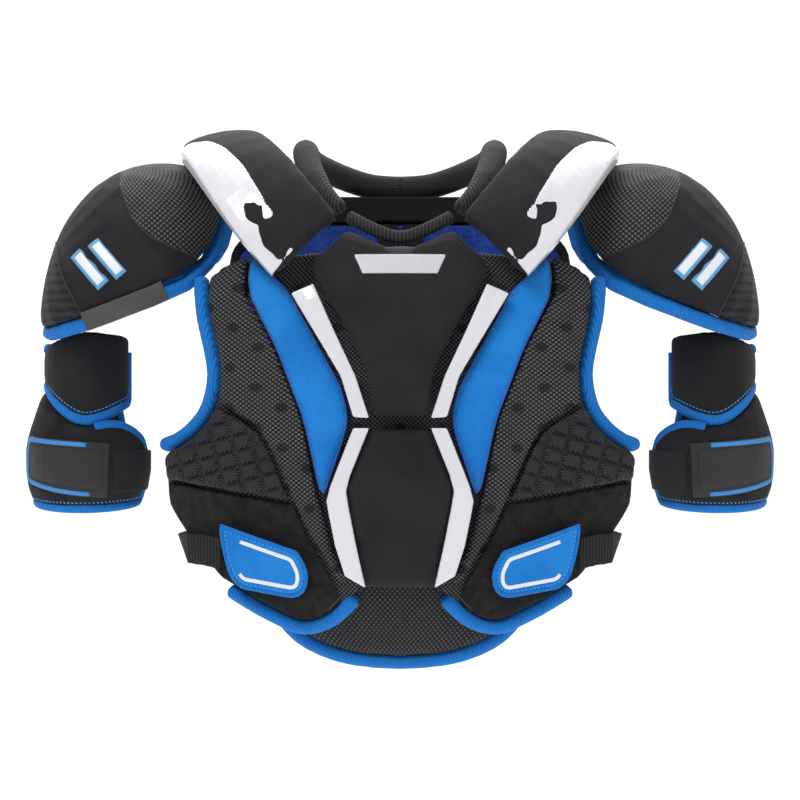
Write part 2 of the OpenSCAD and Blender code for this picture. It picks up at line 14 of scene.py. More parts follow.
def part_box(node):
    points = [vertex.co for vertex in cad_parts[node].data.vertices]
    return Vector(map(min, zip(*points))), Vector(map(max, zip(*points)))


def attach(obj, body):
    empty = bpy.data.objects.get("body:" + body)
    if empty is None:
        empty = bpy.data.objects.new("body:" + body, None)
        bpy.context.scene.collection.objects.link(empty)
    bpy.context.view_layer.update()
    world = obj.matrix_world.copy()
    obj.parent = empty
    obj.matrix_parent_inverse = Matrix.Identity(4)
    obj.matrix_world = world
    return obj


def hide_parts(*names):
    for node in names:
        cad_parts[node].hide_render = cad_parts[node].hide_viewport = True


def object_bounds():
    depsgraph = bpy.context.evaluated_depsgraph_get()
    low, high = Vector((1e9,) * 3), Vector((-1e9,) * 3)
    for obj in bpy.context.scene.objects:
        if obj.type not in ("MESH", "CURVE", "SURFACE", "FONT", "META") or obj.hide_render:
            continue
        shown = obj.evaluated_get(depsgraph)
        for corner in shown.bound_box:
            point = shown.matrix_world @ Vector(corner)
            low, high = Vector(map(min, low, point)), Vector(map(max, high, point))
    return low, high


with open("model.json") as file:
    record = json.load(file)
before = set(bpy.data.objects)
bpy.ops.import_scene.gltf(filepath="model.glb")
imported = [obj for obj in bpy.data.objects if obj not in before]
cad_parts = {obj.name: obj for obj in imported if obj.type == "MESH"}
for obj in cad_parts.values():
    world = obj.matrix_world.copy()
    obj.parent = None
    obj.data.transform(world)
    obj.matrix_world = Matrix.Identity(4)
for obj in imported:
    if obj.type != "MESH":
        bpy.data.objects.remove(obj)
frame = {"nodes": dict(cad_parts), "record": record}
cad_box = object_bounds()
MM = 0.001
BODY_OF = {n: b for b, nodes in frame["record"]["behaviour"]["bodies"].items() for n in nodes}
SIDES = (("left", 1), ("right", -1))

# Sizes that many pieces share.
STITCH_LENGTH = 2.6 * MM
STITCH_RADIUS = 0.42 * MM
STITCH_PITCH = 3.6 * MM
DIMPLE_PITCH = 33 * MM
MESH_PITCH = 3.6 * MM
# Cloth reflects far less than plastic does.
CLOTH_GLOSS = 0.16
# Corners of the CAD mesh closer than this are one corner.
WELD = 0.02 * MM
# A face is on the outer side when its normal leans at least this far outward.
OUTER_FACE = 0.35
# How far off a surface a dropped point may start.
REACH = 40 * MM
# Spacing of the marks that distances from an edge are measured to.
MARK_STEP = 1.5 * MM
# The pressure that swells a pad, and the frames that it is given to settle.
PAD_PRESSURE = 4.0
SWELL_FRAMES = 20


# ---------- Shader building ----------


class Web:
    """A material's node tree, with short calls for the nodes that patterns need."""

    def __init__(self, name):
        self.material = bpy.data.materials.new(name)
        self.material.use_nodes = True
        self.tree = self.material.node_tree
        self.shader = self.tree.nodes["Principled BSDF"]

    def put(self, target, value):
        if isinstance(value, bpy.types.NodeSocket):
            self.tree.links.new(value, target)
        else:
            target.default_value = value

    def math(self, operation, a, b=0.0, c=0.0):
        node = self.tree.nodes.new("ShaderNodeMath")
        node.operation = operation
        for socket, value in zip(node.inputs, (a, b, c)):
            self.put(socket, value)
        return node.outputs[0]

    def clamp_range(self, value, low, high):
        """0 below low, 1 above high and smooth between."""
        node = self.tree.nodes.new("ShaderNodeMapRange")
        node.interpolation_type = "SMOOTHSTEP"
        self.put(node.inputs["Value"], value)
        self.put(node.inputs["From Min"], low)
        self.put(node.inputs["From Max"], high)
        return node.outputs["Result"]

    def mix(self, share, a, b):
        node = self.tree.nodes.new("ShaderNodeMix")
        node.data_type = "RGBA"
        self.put(node.inputs["Factor"], share)
        self.put(node.inputs["A"], a)
        self.put(node.inputs["B"], b)
        return node.outputs["Result"]

    def weave(self):
        """The piece's own cloth coordinates, in metres."""
        node = self.tree.nodes.new("ShaderNodeAttribute")
        node.attribute_name = "weave"
        split = self.tree.nodes.new("ShaderNodeSeparateXYZ")
        self.put(split.inputs[0], node.outputs["Vector"])
        return split.outputs[0], split.outputs[1]

    def noise(self, scale, detail=3.0, rough=0.5):
        place = self.tree.nodes.new("ShaderNodeTexCoord")
        node = self.tree.nodes.new("ShaderNodeTexNoise")
        self.put(node.inputs["Vector"], place.outputs["Object"])
        self.put(node.inputs["Scale"], scale)
        self.put(node.inputs["Detail"], detail)
        self.put(node.inputs["Roughness"], rough)
        return node.outputs["Fac"]

    def wave(self, at, pitch):
        return self.math("COSINE", self.math("MULTIPLY", at, 2 * math.pi / pitch))

    def lattice(self, u, v, pitch_u, pitch_v):
        """1 on a staggered grid of spots, -1 between them."""
        return self.math("MULTIPLY", self.wave(u, pitch_u), self.wave(v, pitch_v))

    def bump(self, heights):
        """A chain of bumps from (height, depth in metres) pairs."""
        normal = None
        for height, depth in heights:
            node = self.tree.nodes.new("ShaderNodeBump")
            node.inputs["Strength"].default_value = 1.0
            self.put(node.inputs["Distance"], depth)
            self.put(node.inputs["Height"], height)
            if normal is not None:
                self.put(node.inputs["Normal"], normal)
            normal = node.outputs["Normal"]
        self.put(self.shader.inputs["Normal"], normal)

    def finish(self, color, rough, sheen=0.0, coat=0.0, gloss=0.5):
        self.put(self.shader.inputs["Base Color"], color)
        self.put(self.shader.inputs["Roughness"], rough)
        self.put(self.shader.inputs["Sheen Weight"], sheen)
        self.put(self.shader.inputs["Coat Weight"], coat)
        self.put(self.shader.inputs["Specular IOR Level"], gloss)
        return self.material


def rgb(r, g, b):
    return (r, g, b, 1.0)


def mesh_fabric(name, hole, thread, pitch, dimples=None, depth=0.25 * MM, ribs=None):
    """Open knitted mesh: pale threads round dark holes, with optional pressed dimples and ribs
    whose hollows and grooves get painted shade.
    """
    web = Web(name)
    u, v = web.weave()
    weave = web.lattice(u, v, pitch, pitch)
    strands = web.clamp_range(web.math("MULTIPLY", weave, -1.0), -0.1, 0.75)
    patches = web.noise(38.0, 2.0)
    strength = web.math("MULTIPLY_ADD", patches, 0.7, 0.45)
    color = web.mix(web.math("MULTIPLY", strands, strength), hole, thread)
    heights = [(strands, depth), (web.noise(60.0, 2.0), 0.5 * MM)]
    if dimples:
        spots = web.clamp_range(web.lattice(u, v, dimples, dimples), 0.62, 0.93)
        # Painted shade: the dimples' hollows are darkened towards black.
        color = web.mix(web.math("MULTIPLY", spots, 0.8), color, rgb(0.006, 0.006, 0.008))
        heights.append((web.math("SUBTRACT", 1.0, spots), 1.6 * MM))
    if ribs:
        bars = web.clamp_range(web.wave(v, ribs), -0.6, 0.6)
        # Painted shade: the grooves between the ribs darken fully to the hole colour, the rib tops
        # half way.
        color = web.mix(web.math("MULTIPLY", bars, 0.5), hole, color)
        heights.append((bars, 0.9 * MM))
    web.bump(heights)
    return web.finish(color, 0.62, sheen=0.03, gloss=CLOTH_GLOSS)


def knit_fabric(name, base, light, pitch_u, pitch_v, depth=0.18 * MM, rough=0.72, sheen=0.04):
    """A close knit with a small stitch grid, painted highlights on the stitch tops and slow changes
    of tone.
    """
    web = Web(name)
    u, v = web.weave()
    stitch = web.lattice(u, v, pitch_u, pitch_v)
    tops = web.clamp_range(stitch, -0.5, 0.8)
    tone = web.clamp_range(web.noise(24.0, 3.0), 0.3, 0.7)
    # Painted highlight: the stitch tops are drawn lighter than the hollows between them; the tone
    # adds random changes.
    lift = web.math("MULTIPLY_ADD", tone, 0.35, web.math("MULTIPLY", tops, 0.55))
    color = web.mix(lift, base, light)
    web.bump([(tops, depth), (web.noise(900.0, 2.0), 0.08 * MM), (web.noise(45.0), 0.5 * MM)])
    return web.finish(color, rough, sheen=sheen, gloss=CLOTH_GLOSS)


def ribbed_fabric(name, base, light, pitch, depth=0.3 * MM, rough=0.7):
    """Ribs across the piece, as on bindings, webbing and collar knit, with painted highlights on
    the rib and yarn tops.
    """
    web = Web(name)
    u, v = web.weave()
    ribs = web.clamp_range(web.wave(u, pitch), -0.8, 0.8)
    yarn = web.clamp_range(web.lattice(u, v, pitch, pitch * 0.8), -0.6, 0.8)
    # Painted highlight: the rib and yarn tops are drawn lighter than the grooves between them.
    lift = web.math("MULTIPLY", web.math("MULTIPLY_ADD", yarn, 0.5, ribs), 0.6)
    color = web.mix(lift, base, light)
    web.bump([(ribs, depth), (yarn, 0.1 * MM), (web.noise(50.0), 0.4 * MM)])
    return web.finish(color, rough, sheen=0.04, gloss=CLOTH_GLOSS)


def pile_fabric(name, base, light, grain, depth):
    """Fuzzy loops or a brushed nap."""
    web = Web(name)
    fuzz = web.noise(grain, 6.0, 0.8)
    clumps = web.noise(grain * 0.12, 3.0)
    lift = web.clamp_range(web.math("MULTIPLY_ADD", clumps, 0.35, fuzz), 0.5, 0.95)
    web.bump([(fuzz, depth), (clumps, depth)])
    return web.finish(web.mix(lift, base, light), 0.95, sheen=0.05, gloss=CLOTH_GLOSS)


def plastic(name, base, worn, rough, coat, grain=0.05 * MM):
    """Moulded plastic with faint scuffs and a slightly uneven gloss."""
    web = Web(name)
    scuffs = web.clamp_range(web.noise(70.0, 5.0, 0.7), 0.55, 0.75)
    color = web.mix(web.math("MULTIPLY", scuffs, 0.25), base, worn)
    gloss = web.math("MULTIPLY_ADD", web.noise(30.0, 4.0), 0.12, rough)
    web.bump([(web.noise(1500.0, 1.0), grain), (web.noise(18.0), 0.35 * MM)])
    return web.finish(color, gloss, coat=coat)


DARK = rgb(0.010, 0.010, 0.012)
BLUE = rgb(0.006, 0.145, 0.53)
BLUE_LIGHT = rgb(0.02, 0.30, 0.82)

MATERIALS = {
    "black_mesh": mesh_fabric(
        "black_mesh", DARK, rgb(0.15, 0.15, 0.16), MESH_PITCH, dimples=DIMPLE_PITCH
    ),
    "cap_mesh": mesh_fabric("cap_mesh", DARK, rgb(0.075, 0.075, 0.085), 2.2 * MM),
    "coarse_mesh": mesh_fabric(
        "coarse_mesh", DARK, rgb(0.15, 0.15, 0.155), 4.4 * MM, depth=0.4 * MM
    ),
    "rib_mesh": mesh_fabric("rib_mesh", DARK, rgb(0.085, 0.085, 0.09), 2.0 * MM),
    "ribbed_mesh": mesh_fabric(
        "ribbed_mesh", DARK, rgb(0.14, 0.14, 0.15), 2.2 * MM, ribs=7.5 * MM
    ),
    "belly_mesh": mesh_fabric(
        "belly_mesh", DARK, rgb(0.09, 0.09, 0.095), 4.8 * MM, depth=0.4 * MM
    ),
    "black_knit": knit_fabric(
        "black_knit", rgb(0.008, 0.008, 0.010), rgb(0.026, 0.026, 0.029), 1.9 * MM, 1.9 * MM
    ),
    "collar_knit": ribbed_fabric(
        "collar_knit", rgb(0.010, 0.010, 0.012), rgb(0.05, 0.05, 0.056), 3.4 * MM, 0.5 * MM
    ),
    "loop_pile": pile_fabric(
        "loop_pile", rgb(0.005, 0.005, 0.006), rgb(0.035, 0.034, 0.034), 900.0, 0.7 * MM
    ),
    "blue_knit": knit_fabric("blue_knit", BLUE, BLUE_LIGHT, 2.4 * MM, 2.4 * MM, 0.3 * MM),
    "blue_binding": ribbed_fabric(
        "blue_binding", rgb(0.006, 0.12, 0.47), rgb(0.015, 0.25, 0.74), 1.6 * MM
    ),
    "white_plate": plastic("white_plate", rgb(0.70, 0.70, 0.74), rgb(0.55, 0.55, 0.6), 0.22, 0.6),
    "badge_rubber": plastic(
        "badge_rubber", rgb(0.02, 0.02, 0.022), rgb(0.05, 0.05, 0.05), 0.5, 0.0
    ),
    "badge_plate": plastic("badge_plate", rgb(0.55, 0.55, 0.6), rgb(0.4, 0.4, 0.43), 0.35, 0.3),
    "blue_liner": pile_fabric(
        "blue_liner", rgb(0.012, 0.04, 0.26), rgb(0.05, 0.13, 0.55), 420.0, 0.4 * MM
    ),
    "inner_plastic": plastic(
        "inner_plastic", rgb(0.03, 0.03, 0.033), rgb(0.07, 0.07, 0.07), 0.45, 0.1, 0.1 * MM
    ),
    "webbing": ribbed_fabric(
        "webbing", rgb(0.008, 0.008, 0.009), rgb(0.035, 0.035, 0.038), 2.0 * MM
    ),
    "grey_tab": knit_fabric(
        "grey_tab", rgb(0.028, 0.028, 0.030), rgb(0.042, 0.042, 0.045),
        1.1 * MM, 1.1 * MM, 0.05 * MM, 0.5, 0.1
    ),
    "grey_label": knit_fabric(
        "grey_label", rgb(0.06, 0.058, 0.055), rgb(0.12, 0.115, 0.11), 1.2 * MM, 1.2 * MM
    ),
    "thread_blue": plastic("thread_blue", rgb(0.01, 0.10, 0.42), rgb(0.02, 0.2, 0.6), 0.6, 0.0),
    "thread_light": plastic(
        "thread_light", rgb(0.05, 0.38, 0.85), rgb(0.03, 0.3, 0.7), 0.6, 0.0
    ),
    "thread_black": plastic(
        "thread_black", rgb(0.012, 0.012, 0.014), rgb(0.03, 0.03, 0.03), 0.6, 0.0
    ),
    "tab_outline": plastic("tab_outline", rgb(0.03, 0.24, 0.60), rgb(0.03, 0.2, 0.5), 0.5, 0.0),
    "print_white": plastic("print_white", rgb(0.78, 0.80, 0.84), rgb(0.6, 0.6, 0.64), 0.4, 0.1),
    "print_blue": plastic("print_blue", rgb(0.10, 0.34, 0.62), rgb(0.08, 0.25, 0.5), 0.5, 0.0),
    "floor": plastic("floor", rgb(0.92, 0.92, 0.92), rgb(0.9, 0.9, 0.9), 0.6, 0.0),
}

# ---------- Reading shapes from the CAD nodes ----------


def cad_mesh(node):
    """The node's mesh as a bmesh with shared corners."""
    made = bmesh.new()
    made.from_mesh(frame["nodes"][node].data)
    bmesh.ops.remove_doubles(made, verts=made.verts, dist=WELD)
    made.normal_update()
    return made


def from_front(_point):
    return Vector((0, -1, 0))


def from_back(_point):
    return Vector((0, 1, 0))


def from_point(middle):
    """Directions away from a point."""

    def away(point):
        out = Vector(point) - Vector(middle)
        return out.normalized() if out.length > 1e-6 else Vector((0, -1, 0))

    return away


def arm_out(side):
    """Directions away from the arm's own axis."""
    low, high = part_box(f"bicep_guard_{side}")
    centre = (low[0] + high[0]) / 2

    def away(point):
        return Vector((point[0] - centre, point[1], 0)).normalized()

    return away


def outline(node, outward):
    """The edge loops round a node's outer face, each as a closed list of points."""
    made = cad_mesh(node)
    borders = []
    for edge in made.edges:
        if len(edge.link_faces) != 2:
            continue
        out = outward((edge.verts[0].co + edge.verts[1].co) / 2)
        facing = [f.normal.dot(out) > OUTER_FACE for f in edge.link_faces]
        if facing[0] != facing[1]:
            borders.append((edge.verts[0].index, edge.verts[1].index))
    made.verts.ensure_lookup_table()
    places = {i: made.verts[i].co.copy() for pair in borders for i in pair}
    made.free()
    near = {}
    for a, b in borders:
        near.setdefault(a, []).append(b)
        near.setdefault(b, []).append(a)
    loops = []
    left = set(near)
    while left:
        start = min(left)
        loop, here, last = [start], start, None
        left.discard(start)
        while True:
            steps = [k for k in near[here] if k != last and (k in left or k == start)]
            if not steps or steps[0] == start:
                break
            last, here = here, steps[0]
            left.discard(here)
            loop.append(here)
        if len(loop) > 3:
            loops.append([places[i] for i in loop])
    return sorted(loops, key=length_of, reverse=True)


def length_of(points):
    return sum((b - a).length for a, b in zip(points, points[1:]))


def resample(points, step, closed=False):
    """Evenly spaced points along a line or loop."""
    line = list(points) + ([points[0]] if closed else [])
    runs = [0.0]
    for a, b in zip(line, line[1:]):
        runs.append(runs[-1] + (b - a).length)
    count = max(int(runs[-1] / step), 3)
    found, k = [], 0
    for i in range(count + (0 if closed else 1)):
        want = runs[-1] * i / count
        while k < len(line) - 2 and runs[k + 1] < want:
            k += 1
        share = (want - runs[k]) / max(runs[k + 1] - runs[k], 1e-9)
        found.append(line[k].lerp(line[k + 1], min(max(share, 0.0), 1.0)))
    return found


def relax(points, rounds, closed=False):
    """Rounds off a line's corners."""
    line = [p.copy() for p in points]
    n = len(line)
    for _ in range(rounds):
        fresh = []
        for i, p in enumerate(line):
            if not closed and i in (0, n - 1):
                fresh.append(p)
            else:
                fresh.append((line[i - 1] + line[(i + 1) % n] + p * 2) / 4)
        line = fresh
    return line


def inset(loop, outward, distance):
    """A closed loop moved towards its own middle across the surface."""
    n = len(loop)
    middle = sum(loop, Vector()) / n
    moved = []
    for i, p in enumerate(loop):
        along = (loop[(i + 1) % n] - loop[i - 1]).normalized()
        side = along.cross(outward(p)).normalized()
        moved.append((p, side))
    facing = sum(side.dot(middle - p) for p, side in moved)
    sign = 1 if facing > 0 else -1
    return [p + side * sign * distance for p, side in moved]


def onto(surface, points, outward, lift):
    """Points dropped onto a mesh object along the way in, then raised by lift."""
    tree = surface_tree(surface)
    placed = []
    for p in points:
        out = outward(p)
        hit = tree.ray_cast(p + out * REACH, -out, 2 * REACH)[0]
        if hit is None:
            hit = tree.find_nearest(p)[0]
        placed.append((hit if hit is not None else p) + out * lift)
    return placed


TREES = {}


def surface_tree(surface):
    if surface.name not in TREES:
        mesh = surface.data
        TREES[surface.name] = BVHTree.FromPolygons(
            [v.co for v in mesh.vertices], [list(p.vertices) for p in mesh.polygons]
        )
    return TREES[surface.name]


# ---------- Making pieces ----------


def cloth_coordinates(obj, middle, axis, radius):
    """Stores each point's place on the cloth: round the axis, then along it, in metres."""
    count = len(obj.data.vertices)
    co = np.empty(count * 3)
    obj.data.vertices.foreach_get("co", co)
    co = co.reshape(-1, 3) - np.array(middle)
    if axis == "Z":
        turn, along = np.arctan2(co[:, 0], -co[:, 1]), co[:, 2]
    else:
        turn, along = np.arctan2(co[:, 2], -co[:, 1]), co[:, 0]
    weave = np.stack([turn * radius, along, np.zeros(count)], axis=1)
    if "weave" in obj.data.attributes:
        obj.data.attributes.remove(obj.data.attributes["weave"])
    attribute = obj.data.attributes.new("weave", "FLOAT_VECTOR", "POINT")
    attribute.data.foreach_set("vector", weave.ravel().astype(np.float32))


# A piece's cloth coordinates: the middle that they turn about, the axis, and the radius in
# metres, which makes a turn round the middle about as long as it is on the piece.
TORSO = ((0, 0.02, 0), "Z", 0.15)
CAP_RADIUS = 85 * MM
ARM_RADIUS = 45 * MM
ARCH_RADIUS = 110 * MM


def cap_cloth(side):
    low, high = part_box(f"cap_pad_{side}")
    return (((low[0] + high[0]) / 2, 0, (low[2] + high[2]) / 2), "Z", CAP_RADIUS)


def arm_cloth(side):
    low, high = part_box(f"cuff_pad_{side}")
    return (((low[0] + high[0]) / 2, 0, (low[2] + high[2]) / 2), "Z", ARM_RADIUS)


def arch_cloth(side):
    low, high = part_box(f"arch_pad_{side}")
    return ((0, (low[1] + high[1]) / 2, low[2]), "X", ARCH_RADIUS)


def new_object(name, mesh):
    obj = bpy.data.objects.new(name, mesh)
    bpy.context.scene.collection.objects.link(obj)
    return obj


def settle(piece, node_or_body, material, replaces=(), cloth=TORSO):
    """Gives a finished piece its material, its cloth coordinates and its body."""
    body = BODY_OF.get(node_or_body, node_or_body)
    cloth_coordinates(piece, *cloth)
    piece.data.materials.clear()
    piece.data.materials.append(MATERIALS[material])
    for polygon in piece.data.polygons:
        polygon.use_smooth = True
    if replaces:
        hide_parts(*replaces)
    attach(piece, body)
    return piece


def apply_modifiers(obj):
    graph = bpy.context.evaluated_depsgraph_get()
    mesh = bpy.data.meshes.new_from_object(obj.evaluated_get(graph))
    obj.modifiers.clear()
    obj.data = mesh
    return obj


def remeshed(name, node, voxel, smooth):
    """A copy of a CAD solid as a fine, rounded mesh."""
    made = cad_mesh(node)
    mesh = bpy.data.meshes.new(name)
    made.to_mesh(mesh)
    made.free()
    obj = new_object(name, mesh)
    remesh = obj.modifiers.new("remesh", "REMESH")
    remesh.mode = "VOXEL"
    remesh.voxel_size = voxel
    remesh.use_smooth_shade = True
    soften = obj.modifiers.new("soften", "SMOOTH")
    soften.factor = 0.5
    soften.iterations = smooth
    return apply_modifiers(obj)


def read_points(obj):
    co = np.empty(len(obj.data.vertices) * 3)
    obj.data.vertices.foreach_get("co", co)
    return co.reshape(-1, 3)


def write_points(obj, co):
    obj.data.vertices.foreach_set("co", co.ravel())
    obj.data.update()


def read_normals(obj):
    normals = np.empty(len(obj.data.vertices) * 3)
    obj.data.vertex_normals.foreach_get("vector", normals)
    return normals.reshape(-1, 3)


def edge_distance(co, loops):
    """How far each point is from the nearest of some loops."""
    marks = [p for loop in loops for p in resample(loop, MARK_STEP, closed=True)]
    tree = KDTree(len(marks))
    for i, p in enumerate(marks):
        tree.insert(p, i)
    tree.balance()
    return np.array([tree.find(p)[2] for p in co])


def rise(distance, width):
    """A round shoulder: 0 at the edge and 1 from width inward."""
    share = np.clip(distance / width, 0, 1)
    return np.sqrt(1 - (1 - share) ** 2)


def facing_share(lean):
    """1 where a normal is within about 45 degrees of outward, falling to 0 near the sides."""
    return np.clip(lean * 2 - 0.4, 0, 1)


def crown(obj, node, outward, height, width):
    """Swells the outer face so that it falls away towards its edges, as a stuffed pad does."""
    co, normals = read_points(obj), read_normals(obj)
    loops = outline(node, outward)
    if not loops:
        return obj
    lean = np.array([max(0.0, Vector(n).dot(outward(Vector(p)))) for p, n in zip(co, normals)])
    lift = height * rise(edge_distance(co, loops), width) * facing_share(lean)
    write_points(obj, co + normals * lift[:, None])
    return obj


def swell(obj, limit):
    """Inflates a pad with Cloth, then keeps each point within limit of where it began."""
    start = read_points(obj).copy()
    cloth = obj.modifiers.new("cloth", "CLOTH")
    cloth.settings.use_pressure = True
    cloth.settings.uniform_pressure_force = PAD_PRESSURE
    cloth.settings.effector_weights.gravity = 0
    cloth.settings.quality = 4
    cloth.point_cache.frame_start = 1
    cloth.point_cache.frame_end = SWELL_FRAMES
    for number in range(1, SWELL_FRAMES + 1):
        bpy.context.scene.frame_set(number)
    apply_modifiers(obj)
    bpy.context.scene.frame_set(1)
    moved = read_points(obj) - start
    size = np.linalg.norm(moved, axis=1, keepdims=True)
    write_points(obj, start + moved * np.minimum(1, limit / np.maximum(size, 1e-9)))
    return obj


def subdivide(obj):
    finer = obj.modifiers.new("finer", "SUBSURF")
    finer.levels = 1
    finer.render_levels = 1
    return apply_modifiers(obj)


def tube(name, points, radius, closed=False, sides=10, flat=1.0, outward=None):
    """A round or flattened rod along a line, as a mesh with its cloth along its length."""
    made = bmesh.new()
    n = len(points)
    rings = []
    for i, p in enumerate(points):
        ahead = points[(i + 1) % n] if closed or i < n - 1 else p
        behind = points[i - 1] if closed or i > 0 else p
        along = (ahead - behind).normalized()
        out = (outward(p) if outward else Vector((0, -1, 0.2))).normalized()
        across = along.cross(out).normalized()
        out = across.cross(along).normalized()
        ring = []
        for k in range(sides):
            turn = 2 * math.pi * k / sides
            ring.append(made.verts.new(
                p + across * math.cos(turn) * radius + out * math.sin(turn) * radius * flat
            ))
        rings.append(ring)
    for i in range(n if closed else n - 1):
        a, b = rings[i], rings[(i + 1) % n]
        for k in range(sides):
            made.faces.new((a[k], a[(k + 1) % sides], b[(k + 1) % sides], b[k]))
    if not closed:
        made.faces.new(rings[0][::-1])
        made.faces.new(rings[-1])
    bmesh.ops.recalc_face_normals(made, faces=made.faces)
    mesh = bpy.data.meshes.new(name)
    made.to_mesh(mesh)
    made.free()
    return new_object(name, mesh)


# One stitch: places along its length, and the thread's thickness there.
STITCH_SHAPE = ((-0.5, 0.25), (-0.35, 0.9), (0.0, 1.1), (0.35, 0.9), (0.5, 0.25))
STITCH_SIDES = 5
# A thread is pressed a little flat against the cloth.
STITCH_FLATNESS = 0.8


def stitches(name, lines, outward, closed=True, slant=0.0):
    """Rows of short thread capsules along lines, as one mesh."""
    made = bmesh.new()
    turns = [2 * math.pi * k / STITCH_SIDES for k in range(STITCH_SIDES)]
    for line in lines:
        marks = resample(line, STITCH_PITCH, closed)
        n = len(marks)
        for i in range(n if closed else n - 1):
            a, b = marks[i], marks[(i + 1) % n]
            along = (b - a).normalized()
            out = outward(a)
            across = along.cross(out).normalized()
            along = (along + across * slant).normalized()
            across = along.cross(out).normalized()
            middle = (a + b) / 2
            rings = []
            for place, fat in STITCH_SHAPE:
                centre = middle + along * place * STITCH_LENGTH
                rings.append([made.verts.new(
                    centre + (across * math.cos(t) + out * math.sin(t) * STITCH_FLATNESS)
                    * fat * STITCH_RADIUS
                ) for t in turns])
            for r, s in zip(rings, rings[1:]):
                for k in range(STITCH_SIDES):
                    after = (k + 1) % STITCH_SIDES
                    made.faces.new((r[k], r[after], s[after], s[k]))
            made.faces.new(rings[0][::-1])
            made.faces.new(rings[-1])
    bmesh.ops.recalc_face_normals(made, faces=made.faces)
    mesh = bpy.data.meshes.new(name)
    made.to_mesh(mesh)
    made.free()
    return new_object(name, mesh)


def ribbon(name, points, width, outward, thick):
    """A thin flat strip lying on a surface along a line."""
    return tube(name, points, width / 2, sides=8, flat=thick / width * 2, outward=outward)


# ---------- Camera, floor and light ----------

BOX_LOW, BOX_HIGH = cad_box
LENS, SENSOR = 100.0, 36.0
# The picture is a little wider than the object.
PHOTO_WIDTH = 1.052 * (BOX_HIGH[0] - BOX_LOW[0])
VIEW_DISTANCE = PHOTO_WIDTH * LENS / SENSOR
# The distance is measured from a plane this share of the way from the middle to the front.
VIEW_PLANE = 0.35
# The eye is a little below the middle of the object's height.
VIEW_HEIGHT = BOX_LOW[2] + 0.492 * (BOX_HIGH[2] - BOX_LOW[2])

# The floor, in metres: its drop below the object, its front edge and half width, the bend
# where it turns up into the wall, and the wall's top.
FLOOR_DROP = 0.9
FLOOR_FRONT = -6
FLOOR_HALF_WIDTH = 9
BEND_START = 3
BEND_RADIUS = 1.5
BEND_STEPS = 16
WALL_TOP = 7
FLOOR_GLOW = 0.42

WHITE = (1, 1, 1, 1)
WORLD_GLOW = 0.42
LIGHT_AIM = Vector((0, 0, 0.22))
# Each light's name, place, size and power.
LIGHTS = (
    ("key", (-0.9, -1.7, 1.9), (0.8, 0.8), 25),
    ("fill", (1.5, -1.6, 0.8), (1.4, 1.4), 6),
    ("top", (0, -0.1, 1.9), (1.8, 1.0), 12),
    ("wall", (0, 1.6, 2.4), (4.0, 1.6), 60),
)


def make_camera():
    """Straight on from the front, as the photograph was taken."""
    camera = bpy.data.objects.new("camera", bpy.data.cameras.new("camera"))
    bpy.context.scene.collection.objects.link(camera)
    camera.data.lens = LENS
    camera.data.sensor_width = SENSOR
    camera.data.dof.use_dof = False
    camera.location = (0, BOX_LOW[1] * VIEW_PLANE - VIEW_DISTANCE, VIEW_HEIGHT)
    camera.rotation_euler = (math.radians(90), 0, 0)
    bpy.context.scene.camera = camera


def make_floor():
    """A plain pale floor that curves up into a wall behind."""
    made = bmesh.new()
    level = BOX_LOW[2] - FLOOR_DROP
    bend = [math.pi / 2 * k / BEND_STEPS for k in range(BEND_STEPS + 1)]
    profile = [(FLOOR_FRONT, 0)]
    profile += [
        (BEND_START + BEND_RADIUS * math.sin(t), BEND_RADIUS - BEND_RADIUS * math.cos(t))
        for t in bend
    ]
    profile.append((BEND_START + BEND_RADIUS, WALL_TOP))
    ends = (-FLOOR_HALF_WIDTH, FLOOR_HALF_WIDTH)
    rows = [[made.verts.new((x, y, level + z)) for x in ends] for y, z in profile]
    for a, b in zip(rows, rows[1:]):
        made.faces.new((a[0], a[1], b[1], b[0]))
    mesh = bpy.data.meshes.new("floor")
    made.to_mesh(mesh)
    made.free()
    floor = new_object("floor", mesh)
    mesh.materials.append(MATERIALS["floor"])
    # A studio sweep glows a little of its own, so that it stays white behind dark cloth.
    shader = next(n for n in MATERIALS["floor"].node_tree.nodes if n.type == "BSDF_PRINCIPLED")
    shader.inputs["Emission Color"].default_value = WHITE
    shader.inputs["Emission Strength"].default_value = FLOOR_GLOW
    for polygon in mesh.polygons:
        polygon.use_smooth = True


def soft_light(name, place, size, power):
    light = bpy.data.lights.new(name, "AREA")
    light.shape = "RECTANGLE"
    light.size = size[0]
    light.size_y = size[1]
    light.energy = power
    obj = bpy.data.objects.new(name, light)
    bpy.context.scene.collection.objects.link(obj)
    obj.location = place
    aim = LIGHT_AIM - Vector(place)
    obj.rotation_mode = "QUATERNION"
    obj.rotation_quaternion = aim.to_track_quat("-Z", "Y")


def make_world():
    """A plain white surrounding."""
    world = bpy.data.worlds.new("world")
    world.use_nodes = True
    background = world.node_tree.nodes["Background"]
    background.inputs["Color"].default_value = WHITE
    background.inputs["Strength"].default_value = WORLD_GLOW
    bpy.context.scene.world = world


make_camera()
make_floor()
for light_row in LIGHTS:
    soft_light(*light_row)
make_world()
# Standard shows each material at its own colour.
bpy.context.scene.view_settings.view_transform = "Standard"


# ---------- Pieces ----------

LINE_STEP = 3 * MM


def kept_runs(loop, keep):
    """The stretches of a closed loop where keep(point) holds, as open lines."""
    held = [keep(p) for p in loop]
    if all(held):
        return [loop + loop[:1]]
    first = held.index(False)
    runs, run = [], []
    for k in range(len(loop) + 1):
        i = (first + k) % len(loop)
        if k < len(loop) and held[i]:
            run.append(loop[i])
            continue
        if len(run) > 3:
            runs.append(run)
        run = []
    return runs


def edge_line(node, surface, outward, inward, lift, round_off):
    """A closed line just inside a node's outer edge, lying on its finished surface."""
    loop = outline(node, outward)[0]
    line = relax(resample(inset(loop, outward, inward), LINE_STEP, True), round_off, True)
    return relax(onto(surface, line, outward, lift), 1, True)


